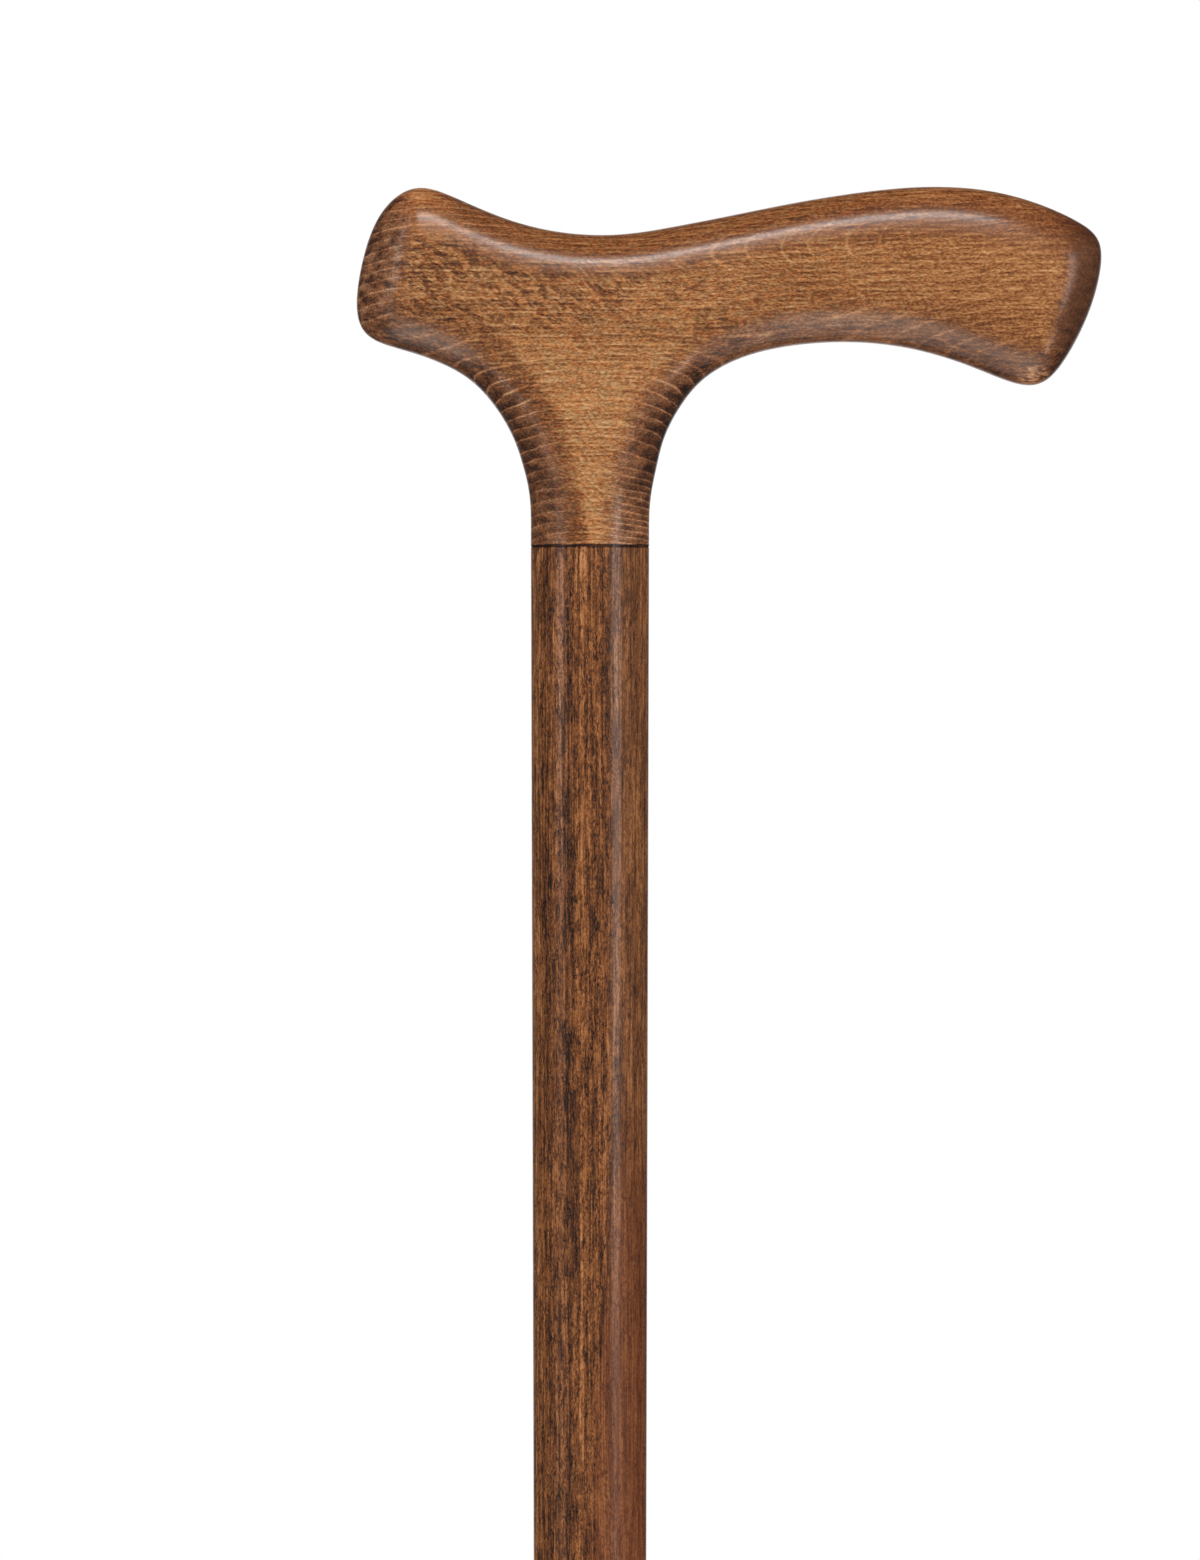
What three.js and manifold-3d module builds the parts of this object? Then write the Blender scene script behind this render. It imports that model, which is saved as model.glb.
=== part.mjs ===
// A walking cane with a fritz handle: a beech handle with a long and a short arm, butt-jointed to a
// tapered beech shaft by a glued-in threaded stud, and a rubber ferrule with its steel washer.
// Millimetres, +Z up. The origin is the centre of the ferrule's sole, where the cane meets the
// ground. The shaft runs up the Z axis, and the handle's long arm points along +X.

import * as THREE from "three";
import { mergeVertices } from "three/addons/utils/BufferGeometryUtils.js";
import Module from "manifold-3d";

const wasm = await Module();
wasm.setup();

// Whole cane
const OVERALL_HEIGHT = 920; // ground to the crown of the grip
const SHAFT_TOP_DIAMETER = 20.7;
const SHAFT_TIP_DIAMETER = 16;
const SEAT_GAP = 0.3; // between solids that the real cane glues or grips
const GLUE_LINE = 0.2; // between the handle's foot and the shaft's top

// Handle
const HANDLE_HEIGHT = 63.2; // joint to crown
const LONG_ARM_REACH = 89.6; // shaft axis to the tip of the long arm
const SHORT_ARM_REACH = 41; // shaft axis to the end of the short arm
const GRIP_THICKNESS = 24; // front face to back face, at the arms
const NECK_FLARE_START = 4; // height over the joint where the neck starts to thicken
const NECK_FLARE_END = 36; // height over the joint where it has the grip's thickness
const GRIP_SQUARENESS = 2.35; // superellipse power of the edge rounding; 2 is an ellipse
const FACE_EDGE = 0.35; // half width of the flat face where the neck is round
const LONG_EDGE_ROUND = 8.5; // width of the edge rounding along the arms
const END_ROUND = 6.5; // across the arms' ends
const CORNER_ROUND = 4.8; // at the arms' corners
const FOOT_ALLOWANCE = 6; // length modelled below the joint, then sawn off

// Stud: M8 threaded rod
const STUD_DIAMETER = 8;
const STUD_PITCH = 1.25;
const STUD_THREAD_DEPTH = 0.65;
const STUD_IN_HANDLE = 34;
const STUD_IN_SHAFT = 42;
const STUD_CHAMFER = 1;
const SHAFT_TIP_CHAMFER = 0.4;
const BORE_SPARE_DEPTH = 2; // room for glue past each end of the stud
const DRILL_POINT = 2.4; // length of the cone that the drill leaves

// Ferrule
const FERRULE_HEIGHT = 43;
const SOLE_DIAMETER = 34;
const SOLE_THICKNESS = 9; // rubber below the washer
const SOLE_EDGE = 1.2; // chamfer round the sole
const BASE_BAND_HEIGHT = 7; // nearly upright band above the sole
const BASE_BAND_DRAFT = 0.8; // how much narrower the band is at its top
const COLLAR_WALL = 3.2;
const COLLAR_LENGTH = 19; // straight part below the mouth
const MOUTH_EDGE = 0.6; // chamfer round the mouth
const RIB_COUNT = 3;
const RIB_HEIGHT = 0.9;
const RIB_WIDTH = 2;
const RIB_SPACING = 4.5;
const SOLE_GROOVES = [8, 12.6]; // middle radius of each ring groove in the sole
const GROOVE_WIDTH = 1.8;
const GROOVE_DEPTH = 1.6;
const GROOVE_DRAFT = 0.3; // how far each groove wall leans

// Washer
const WASHER_THICKNESS = 1.5;
const WASHER_HOLE_DIAMETER = 5;

// How finely the round forms are stepped
const ROUND_STEPS = 40;
const STUD_STEPS = 10; // per turn of the thread
const OUTLINE_STEPS = 4; // per station of the silhouette
const EDGE_STEPS = 6; // from the silhouette to the flat face
const FLARE_STEPS = 6; // down the ferrule's curve

// Places that follow from the sizes above
const NECK_RADIUS = SHAFT_TOP_DIAMETER / 2;
const NECK_ROUND = NECK_RADIUS - FACE_EDGE;
const JOINT_Z = OVERALL_HEIGHT - HANDLE_HEIGHT;
const SHAFT_TOP_Z = JOINT_Z - GLUE_LINE;
const WASHER_Z = SOLE_THICKNESS + SEAT_GAP;
const SHAFT_TIP_Z = WASHER_Z + WASHER_THICKNESS + SEAT_GAP;
const STUD_BORE_RADIUS = STUD_DIAMETER / 2 + SEAT_GAP;

const BEECH = { color: 0x7a4622, roughness: 0.42, metalness: 0 };
const RUBBER = { color: 0x2a2624, roughness: 0.85, metalness: 0 };
const STEEL = { color: 0xa9a9a6, roughness: 0.4, metalness: 1 };

// The shaft tapers evenly from the joint to the tip.
function shaftRadius(z) {
  const share = (z - SHAFT_TIP_Z) / (SHAFT_TOP_Z - SHAFT_TIP_Z);
  return (SHAFT_TIP_DIAMETER + share * (SHAFT_TOP_DIAMETER - SHAFT_TIP_DIAMETER)) / 2;
}

// A profile of [radius, z] points turned round the Z axis. It starts and ends on the axis, or closes.
function turned(profile, steps = ROUND_STEPS) {
  const points = profile.map(([radius, z]) => new THREE.Vector2(radius, z));
  return new THREE.LatheGeometry(points, steps).rotateX(Math.PI / 2);
}

function toSolid(geometry) {
  const bare = new THREE.BufferGeometry();
  bare.setAttribute("position", geometry.getAttribute("position"));
  bare.setIndex(geometry.index);
  const merged = mergeVertices(bare, 1e-3);
  return new wasm.Manifold(
    new wasm.Mesh({
      numProp: 3,
      vertProperties: new Float32Array(merged.attributes.position.array),
      triVerts: new Uint32Array(merged.index.array),
    }),
  );
}

function toGeometry(solid) {
  const mesh = solid.getMesh();
  const geometry = new THREE.BufferGeometry();
  geometry.setAttribute("position", new THREE.BufferAttribute(mesh.vertProperties, mesh.numProp));
  geometry.setIndex(new THREE.BufferAttribute(mesh.triVerts, 1));
  geometry.computeVertexNormals();
  return geometry;
}

function piece(name, geometry, finish) {
  const mesh = new THREE.Mesh(geometry, new THREE.MeshStandardMaterial(finish));
  mesh.name = name;
  return mesh;
}

// The silhouette's stations run anticlockwise from the neck's foot on the long-arm side. Each has
// its share of the arm's reach past the neck, its share of the handle's height over the joint, and
// the width of the edge rounding there.
const LONG_SIDE = [
  [0.003, 0.103, NECK_ROUND],
  [0.012, 0.214, NECK_ROUND],
  [0.036, 0.324, NECK_ROUND],
  [0.096, 0.435, NECK_ROUND],
  [0.202, 0.527, LONG_EDGE_ROUND],
  [0.335, 0.565, LONG_EDGE_ROUND],
  [0.467, 0.57, LONG_EDGE_ROUND],
  [0.599, 0.548, LONG_EDGE_ROUND],
  [0.732, 0.493, END_ROUND],
  [0.802, 0.459, CORNER_ROUND],
  [0.848, 0.451, CORNER_ROUND],
  [0.89, 0.483, CORNER_ROUND],
  [0.936, 0.565, END_ROUND],
  [0.979, 0.679, END_ROUND],
  [0.999, 0.79, CORNER_ROUND],
  [0.991, 0.85, CORNER_ROUND],
  [0.947, 0.9, CORNER_ROUND],
  [0.863, 0.949, END_ROUND],
  [0.753, 0.987, LONG_EDGE_ROUND],
  [0.621, 1.0, LONG_EDGE_ROUND],
  [0.466, 0.983, LONG_EDGE_ROUND],
  [0.29, 0.948, LONG_EDGE_ROUND],
  [0.113, 0.903, LONG_EDGE_ROUND],
];
const SADDLE = [0, 0.866, LONG_EDGE_ROUND]; // lowest point of the grip's top, over the shaft axis
const SHORT_SIDE = [
  [0.236, 0.927, LONG_EDGE_ROUND],
  [0.464, 0.975, END_ROUND],
  [0.635, 1.0, CORNER_ROUND],
  [0.777, 0.972, CORNER_ROUND],
  [0.897, 0.883, END_ROUND],
  [0.972, 0.781, END_ROUND],
  [1.0, 0.684, CORNER_ROUND],
  [0.959, 0.609, CORNER_ROUND],
  [0.836, 0.562, CORNER_ROUND],
  [0.578, 0.524, END_ROUND],
  [0.321, 0.446, LONG_EDGE_ROUND],
  [0.145, 0.343, NECK_ROUND],
  [0.047, 0.236, NECK_ROUND],
  [0.011, 0.13, NECK_ROUND],
];

function silhouetteStations() {
  const foot = [NECK_RADIUS, 0, NECK_ROUND];
  const below = [NECK_RADIUS, -FOOT_ALLOWANCE, NECK_ROUND];
  const onSide = (side, reach) => ([along, up, inset]) => [
    side * (NECK_RADIUS + along * (reach - NECK_RADIUS)),
    up * HANDLE_HEIGHT,
    inset,
  ];
  const mirrored = ([x, height, inset]) => [-x, height, inset];
  return [
    below,
    foot,
    ...LONG_SIDE.map(onSide(1, LONG_ARM_REACH)),
    [SADDLE[0], SADDLE[1] * HANDLE_HEIGHT, SADDLE[2]],
    ...SHORT_SIDE.map(onSide(-1, SHORT_ARM_REACH)),
    mirrored(foot),
    mirrored(below),
  ];
}

// Half the handle's thickness at a height over the joint: the neck's radius, then the grip's half.
function halfThickness(height) {
  const share = THREE.MathUtils.smoothstep(height, NECK_FLARE_START, NECK_FLARE_END);
  return NECK_RADIUS + share * (GRIP_THICKNESS / 2 - NECK_RADIUS);
}

// The face's edge lies each station's inset in from the silhouette, square to it.
function insetStation(stations, index) {
  const [x, height, inset] = stations[index];
  const [xBefore, heightBefore] = stations[Math.max(index - 1, 0)];
  const [xAfter, heightAfter] = stations[Math.min(index + 1, stations.length - 1)];
  const along = new THREE.Vector2(xAfter - xBefore, heightAfter - heightBefore).normalize();
  return new THREE.Vector3(x - along.y * inset, 0, height + along.x * inset);
}

// Rings run from the silhouette in the middle plane to the flat face's edge, front and back, and
// each follows a superellipse between the two outlines.
function handleGeometry() {
  const stations = silhouetteStations();
  const silhouette = new THREE.CatmullRomCurve3(
    stations.map(([x, height]) => new THREE.Vector3(x, 0, height)),
  );
  const faceEdge = new THREE.CatmullRomCurve3(
    stations.map((_, index) => insetStation(stations, index)),
  );
  const divisions = (stations.length - 1) * OUTLINE_STEPS;
  const outer = silhouette.getPoints(divisions);
  const inner = faceEdge.getPoints(divisions);
  const around = outer.length;
  const positions = [];
  const indices = [];
  for (let step = -EDGE_STEPS; step <= EDGE_STEPS; step++) {
    const outward = Math.cos((step / EDGE_STEPS) * (Math.PI / 2));
    inner.forEach((edge, i) => {
      const { x, z } = edge.clone().lerp(outer[i], outward);
      const share = THREE.MathUtils.smoothstep(z, NECK_FLARE_START, NECK_FLARE_END);
      const power = THREE.MathUtils.lerp(2, GRIP_SQUARENESS, share);
      const depth = Math.pow(1 - Math.pow(outward, power), 1 / power);
      positions.push(x, Math.sign(step) * depth * halfThickness(z), z);
    });
  }
  for (let row = 0; row < 2 * EDGE_STEPS; row++) {
    for (let i = 0; i < around; i++) {
      const a = row * around + i;
      const b = row * around + ((i + 1) % around);
      indices.push(a, a + around, b, b, a + around, b + around);
    }
  }
  const face = inner.map(({ x, z }) => new THREE.Vector2(x, z));
  const back = 2 * EDGE_STEPS * around;
  for (const [a, b, c] of THREE.ShapeUtils.triangulateShape(face, [])) {
    indices.push(a, b, c, back + c, back + b, back + a);
  }
  const geometry = new THREE.BufferGeometry();
  geometry.setAttribute("position", new THREE.Float32BufferAttribute(positions, 3));
  geometry.setIndex(indices);
  return geometry.translate(0, 0, JOINT_Z);
}

function handle() {
  const sawnOff = new THREE.BoxGeometry(4 * NECK_RADIUS, 4 * NECK_RADIUS, 2 * FOOT_ALLOWANCE);
  sawnOff.translate(0, 0, JOINT_Z - FOOT_ALLOWANCE);
  const boreEnd = JOINT_Z + STUD_IN_HANDLE + BORE_SPARE_DEPTH;
  const bore = turned([
    [0, JOINT_Z - FOOT_ALLOWANCE],
    [STUD_BORE_RADIUS, JOINT_Z - FOOT_ALLOWANCE],
    [STUD_BORE_RADIUS, boreEnd],
    [0, boreEnd + DRILL_POINT],
  ]);
  const carved = toSolid(handleGeometry()).subtract(toSolid(sawnOff)).subtract(toSolid(bore));
  return piece("handle", toGeometry(carved), BEECH);
}

function shaft() {
  const boreEnd = SHAFT_TOP_Z - STUD_IN_SHAFT - BORE_SPARE_DEPTH;
  const chamferTop = SHAFT_TIP_Z + SHAFT_TIP_CHAMFER;
  const profile = [
    [0, SHAFT_TIP_Z],
    [shaftRadius(SHAFT_TIP_Z) - SHAFT_TIP_CHAMFER, SHAFT_TIP_Z],
    [shaftRadius(chamferTop), chamferTop],
    [shaftRadius(SHAFT_TOP_Z), SHAFT_TOP_Z],
    [STUD_BORE_RADIUS, SHAFT_TOP_Z],
    [STUD_BORE_RADIUS, boreEnd],
    [0, boreEnd - DRILL_POINT],
  ];
  return piece("shaft", turned(profile), BEECH);
}

// A helical band of crests and roots, closed at both ends and trimmed to a chamfered rod.
function jointStud() {
  const bottom = SHAFT_TOP_Z - STUD_IN_SHAFT;
  const top = JOINT_Z + STUD_IN_HANDLE;
  const crest = STUD_DIAMETER / 2;
  const root = crest - STUD_THREAD_DEPTH;
  const turns = Math.ceil((top - bottom) / STUD_PITCH) + 3;
  const start = bottom - 1.5 * STUD_PITCH;
  const positions = [];
  const indices = [];
  const steps = turns * STUD_STEPS;
  for (let i = 0; i <= steps; i++) {
    const angle = (2 * Math.PI * i) / STUD_STEPS;
    const rise = start + (STUD_PITCH * i) / STUD_STEPS;
    positions.push(root * Math.cos(angle), root * Math.sin(angle), rise);
    positions.push(crest * Math.cos(angle), crest * Math.sin(angle), rise + STUD_PITCH / 2);
  }
  const rootAt = (i) => 2 * i;
  const crestAt = (i) => 2 * i + 1;
  for (let i = 0; i < steps; i++) {
    indices.push(rootAt(i), rootAt(i + 1), crestAt(i + 1), rootAt(i), crestAt(i + 1), crestAt(i));
    if (i + STUD_STEPS < steps) {
      const above = i + STUD_STEPS;
      indices.push(crestAt(i), crestAt(i + 1), rootAt(above + 1));
      indices.push(crestAt(i), rootAt(above + 1), rootAt(above));
    }
  }
  const centres = positions.length / 3;
  positions.push(0, 0, start, 0, 0, start + STUD_PITCH * turns);
  const firstTurn = [...Array(STUD_STEPS + 1).keys()].map(rootAt).concat(crestAt(0));
  const lastStart = steps - STUD_STEPS;
  const lastTurn = [...Array(STUD_STEPS + 1).keys()].map((i) => crestAt(lastStart + i));
  lastTurn.push(rootAt(steps));
  firstTurn.forEach((corner, i) => {
    indices.push(centres, firstTurn[(i + 1) % firstTurn.length], corner);
  });
  lastTurn.forEach((corner, i) => {
    indices.push(centres + 1, corner, lastTurn[(i + 1) % lastTurn.length]);
  });
  const thread = new THREE.BufferGeometry();
  thread.setAttribute("position", new THREE.Float32BufferAttribute(positions, 3));
  thread.setIndex(indices);
  const rod = turned([
    [0, bottom],
    [crest - STUD_CHAMFER, bottom],
    [crest + SEAT_GAP, bottom + STUD_CHAMFER],
    [crest + SEAT_GAP, top - STUD_CHAMFER],
    [crest - STUD_CHAMFER, top],
    [0, top],
  ]);
  return piece("joint_stud", toGeometry(toSolid(thread).intersect(toSolid(rod))), STEEL);
}

// The sole's ring grooves, as profile points from the outer edge inwards.
function soleProfile() {
  return [...SOLE_GROOVES].reverse().flatMap((middle) => [
    [middle + GROOVE_WIDTH / 2, 0],
    [middle + GROOVE_WIDTH / 2 - GROOVE_DRAFT, GROOVE_DEPTH],
    [middle - GROOVE_WIDTH / 2 + GROOVE_DRAFT, GROOVE_DEPTH],
    [middle - GROOVE_WIDTH / 2, 0],
  ]);
}

// The collar's ribs, as profile points from the mouth downwards.
function ribProfile(collarRadius, mouthZ) {
  return [...Array(RIB_COUNT).keys()].flatMap((i) => {
    const middle = mouthZ - RIB_SPACING * (i + 0.75);
    return [
      [collarRadius, middle + RIB_WIDTH / 2],
      [collarRadius + RIB_HEIGHT, middle + RIB_WIDTH / 4],
      [collarRadius + RIB_HEIGHT, middle - RIB_WIDTH / 4],
      [collarRadius, middle - RIB_WIDTH / 2],
    ];
  });
}

// The bell between the collar and the base band, as profile points downwards.
function flareProfile(collarRadius) {
  const bandRadius = SOLE_DIAMETER / 2 - BASE_BAND_DRAFT;
  const flareTop = FERRULE_HEIGHT - COLLAR_LENGTH;
  return [...Array(FLARE_STEPS + 1).keys()].map((i) => {
    const angle = (i / FLARE_STEPS) * (Math.PI / 2);
    return [
      bandRadius - (bandRadius - collarRadius) * Math.cos(angle),
      flareTop - (flareTop - BASE_BAND_HEIGHT) * Math.sin(angle),
    ];
  });
}

function ferrule() {
  const boreAt = (z) => shaftRadius(z) + SEAT_GAP;
  const collarRadius = boreAt(FERRULE_HEIGHT) + COLLAR_WALL;
  const profile = [
    [0, SOLE_THICKNESS],
    [boreAt(SHAFT_TIP_Z), SOLE_THICKNESS],
    [boreAt(SHAFT_TIP_Z), SHAFT_TIP_Z],
    [boreAt(FERRULE_HEIGHT), FERRULE_HEIGHT],
    [collarRadius - MOUTH_EDGE, FERRULE_HEIGHT],
    [collarRadius, FERRULE_HEIGHT - MOUTH_EDGE],
    ...ribProfile(collarRadius, FERRULE_HEIGHT),
    ...flareProfile(collarRadius),
    [SOLE_DIAMETER / 2, SOLE_EDGE],
    [SOLE_DIAMETER / 2 - SOLE_EDGE, 0],
    ...soleProfile(),
    [0, 0],
  ].reverse();
  return piece("ferrule", turned(profile), RUBBER);
}

function ferruleWasher() {
  const outer = shaftRadius(SHAFT_TIP_Z);
  const inner = WASHER_HOLE_DIAMETER / 2;
  const profile = [
    [inner, WASHER_Z],
    [outer, WASHER_Z],
    [outer, WASHER_Z + WASHER_THICKNESS],
    [inner, WASHER_Z + WASHER_THICKNESS],
    [inner, WASHER_Z],
  ];
  return piece("ferrule_washer", turned(profile), STEEL);
}

const cane = new THREE.Group();
cane.add(handle(), shaft(), jointStud(), ferrule(), ferruleWasher());

export default cane;
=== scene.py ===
"""The looks of a fritz-handle cane: stained beech handle and shaft, rubber ferrule and hidden steel parts."""

import logging
import math
from collections.abc import Callable, Iterator
from contextlib import contextmanager
from dataclasses import dataclass, replace
from enum import Enum

import bmesh
import bpy
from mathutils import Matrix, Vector


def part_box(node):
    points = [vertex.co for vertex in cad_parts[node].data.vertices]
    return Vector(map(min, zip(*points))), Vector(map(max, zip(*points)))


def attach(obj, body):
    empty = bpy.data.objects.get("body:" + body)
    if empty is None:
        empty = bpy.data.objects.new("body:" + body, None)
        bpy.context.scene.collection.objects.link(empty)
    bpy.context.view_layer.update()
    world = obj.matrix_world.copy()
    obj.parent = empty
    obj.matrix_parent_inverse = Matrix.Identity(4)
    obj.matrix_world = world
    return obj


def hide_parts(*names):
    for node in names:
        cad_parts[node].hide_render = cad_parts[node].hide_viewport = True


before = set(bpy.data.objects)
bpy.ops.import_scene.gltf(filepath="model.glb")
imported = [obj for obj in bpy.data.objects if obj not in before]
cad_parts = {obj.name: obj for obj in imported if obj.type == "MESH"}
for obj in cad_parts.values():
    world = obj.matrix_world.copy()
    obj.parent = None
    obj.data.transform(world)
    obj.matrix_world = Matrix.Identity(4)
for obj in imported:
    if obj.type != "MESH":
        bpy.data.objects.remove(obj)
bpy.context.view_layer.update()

MM = 0.001
FIT = 0.3 * MM  # the ferrule's play on the shaft
HAIR = 0.1 * MM
SAME_PLACE = 0.02 * MM  # points closer than this are one point
SAME_LEVEL = 0.01 * MM
LEVEL = 0.9  # the upright share of a level face's normal
LEANING = 0.6  # the same of a face that leans
NO_TURN = 1e-6  # a smaller angle is no turn
SMOOTH_ANGLE = math.radians(35)  # edges sharper than this stay sharp
SURFACE_IOR = 1.5

log = logging.getLogger("cane")

Solid = bpy.types.Object
Material = bpy.types.Material
Point = tuple[float, float]
Triple = tuple[float, float, float]
Colour = tuple[float, float, float]
NO_SHIFT: Triple = (0, 0, 0)


# Modelling


class Element(Enum):
    """What a selection picks in edit mode."""

    FACE = "FACE"
    VERTEX = "VERT"


def select_only(obj: Solid) -> None:
    """Makes one object the selected and active one.

    Args:
        obj: The object.
    """
    bpy.ops.object.select_all(action="DESELECT")
    obj.select_set(True)
    bpy.context.view_layer.objects.active = obj


def take_primitive(name: str) -> Solid:
    """Names the primitive that was just added and puts its place into its mesh.

    Args:
        name: The piece's name.

    Returns:
        The new object, at the origin.
    """
    obj = bpy.context.active_object
    obj.name = name
    obj.data.name = name
    select_only(obj)
    bpy.ops.object.transform_apply(location=True, rotation=True, scale=True)
    return obj


def add_rod(name: str, radius: float, low: float, high: float, sides: int = 64) -> Solid:
    """Adds a round rod on the Z axis.

    Args:
        name: The rod's name.
        radius: Its radius.
        low: Its lower end.
        high: Its upper end.
        sides: How many sides its section has.

    Returns:
        The rod, at the origin.
    """
    middle = (0, 0, (low + high) / 2)
    bpy.ops.mesh.primitive_cylinder_add(vertices=sides, radius=radius, depth=high - low, location=middle)
    return take_primitive(name)


def extrude_by(step: Vector) -> None:
    """Extrudes the selected faces as one region and moves the new ones by step."""
    bpy.ops.mesh.extrude_region_move(TRANSFORM_OT_translate={"value": tuple(step)})


def turn_about_y(angle: float, centre: Vector) -> None:
    """Turns the selection about the Y axis, from +Z towards +X for a positive angle."""
    if abs(angle) > NO_TURN:
        bpy.ops.transform.rotate(value=-angle, orient_axis="Y", center_override=tuple(centre))


def stretch(factors: Triple, centre: Vector) -> None:
    """Scales the selection along X, Y and Z about centre."""
    bpy.ops.transform.resize(value=factors, center_override=tuple(centre))


def bevel(width: float, segments: int) -> None:
    """Bevels the edges round the selection to the given width."""
    bpy.ops.mesh.bevel(offset=width, offset_type="OFFSET", segments=segments, affect="EDGES")


def carry_up(start: Point, rings: list[Point]) -> None:
    """Extrudes the selected round face through a row of rings.

    Args:
        start: The face's radius and height.
        rings: Each ring's radius and height.
    """
    radius, level = start
    for wider, higher in rings:
        extrude_by(Vector((0, 0, higher - level)))
        stretch((wider / radius, wider / radius, 1), Vector((0, 0, higher)))
        radius, level = wider, higher


def downward(centre: Vector, normal: Vector) -> bool:
    """Says whether a face with this normal looks down."""
    return normal.z < -LEVEL


def upward(centre: Vector, normal: Vector) -> bool:
    """Says whether a face with this normal looks up."""
    return normal.z > LEVEL


def dress(obj: Solid, material: Material) -> None:
    """Gives obj the one material."""
    obj.data.materials.clear()
    obj.data.materials.append(material)


class Modelled:
    """A piece that is modelled in edit mode, with the tools that select and change its mesh.

    Attributes:
        obj: The piece, from the moment its first primitive is laid.
    """

    obj: Solid

    @contextmanager
    def editing(self) -> Iterator[None]:
        """Opens the piece in edit mode for the block, with nothing selected."""
        select_only(self.obj)
        bpy.ops.object.mode_set(mode="EDIT")
        bpy.ops.mesh.select_mode(type="FACE")
        bpy.ops.mesh.select_all(action="DESELECT")
        yield
        bpy.ops.object.mode_set(mode="OBJECT")

    def select(self, element: Element, wanted: Callable[[Vector, Vector], bool]) -> None:
        """Selects faces or vertices of the piece in edit mode.

        Args:
            element: Which of the two.
            wanted: Takes the place and the normal of one, and says whether it is selected.
        """
        bpy.ops.mesh.select_mode(type=element.value)
        bpy.ops.mesh.select_all(action="DESELECT")
        shape = bmesh.from_edit_mesh(self.obj.data)
        if element is Element.FACE:
            parts = [(face, face.calc_center_median()) for face in shape.faces]
        else:
            parts = [(vertex, vertex.co) for vertex in shape.verts]
        for part, place in parts:
            if wanted(place, part.normal):
                part.select_set(True)
        bmesh.update_edit_mesh(self.obj.data)

    def move_pair(self, start: Vector, goal: Vector) -> None:
        """Moves the vertex at start and its mirror image across Y to goal and its mirror image.

        Args:
            start: Where the vertex on the +Y side is.
            goal: Where it goes.
        """
        self.select(Element.VERTEX, lambda p, n: (Vector((p.x, abs(p.y), p.z)) - start).length < SAME_PLACE)
        bpy.ops.transform.translate(value=(goal.x - start.x, 0, goal.z - start.z))
        stretch((1, goal.y / start.y, 1), Vector((goal.x, 0, goal.z)))

    def modify(self, kind: str, **settings: object) -> None:
        """Adds a modifier and applies it.

        Args:
            kind: The modifier's type.
            settings: Its properties.
        """
        select_only(self.obj)
        modifier = self.obj.modifiers.new(kind.lower(), kind)
        for name, value in settings.items():
            setattr(modifier, name, value)
        bpy.ops.object.modifier_apply(modifier=modifier.name)

    def complete(self, material: Material) -> None:
        """Shades the piece smooth between its sharp edges and dresses it.

        Args:
            material: Its finish.
        """
        select_only(self.obj)
        bpy.ops.object.shade_smooth_by_angle(angle=SMOOTH_ANGLE)
        dress(self.obj, material)


# Material helpers


class Sheet:
    """The node tree of a material or a world."""

    def __init__(self, owner: Material | bpy.types.World) -> None:
        """Empties the node tree of a material or a world.

        Args:
            owner: Which one.
        """
        owner.use_nodes = True
        self.owner = owner
        self.tree = owner.node_tree
        self.tree.nodes.clear()

    def add(self, kind: str, inputs: dict[str | int, object] | None = None, output: str | int = 0,
            **settings: object) -> "Value":
        """Adds a node.

        Args:
            kind: The node's type, without its ShaderNode prefix.
            inputs: A number, a colour or a Value for each input, by name or number.
            output: Which of its outputs is wanted, by name or number.
            settings: The node's own properties.

        Returns:
            That output.
        """
        node = self.tree.nodes.new("ShaderNode" + kind)
        for name, value in settings.items():
            setattr(node, name, value)
        for key, value in (inputs or {}).items():
            socket = node.inputs[key]
            if isinstance(value, Value):
                self.tree.links.new(value.socket, socket)
            else:
                socket.default_value = (*value, 1.0) if socket.type == "RGBA" else value
        return Value(self, node.outputs[output])

    def place(self, level: float = 0.0) -> "Value":
        """Returns the place on the piece in millimetres, with its Z from level up."""
        inputs = {"Vector": self.add("TexCoord", output="Object"), "Scale": (1 / MM, 1 / MM, 1 / MM)}
        return self.add("Mapping", {**inputs, "Location": (0, 0, -level / MM)})

    def finish(self, shader: "Value") -> Material | bpy.types.World:
        """Links a shader to the output.

        Args:
            shader: The finished shader.

        Returns:
            The finished material or world.
        """
        kind = "World" if isinstance(self.owner, bpy.types.World) else "Material"
        output = self.tree.nodes.new("ShaderNodeOutput" + kind)
        self.tree.links.new(shader.socket, output.inputs["Surface"])
        return self.owner


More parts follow.
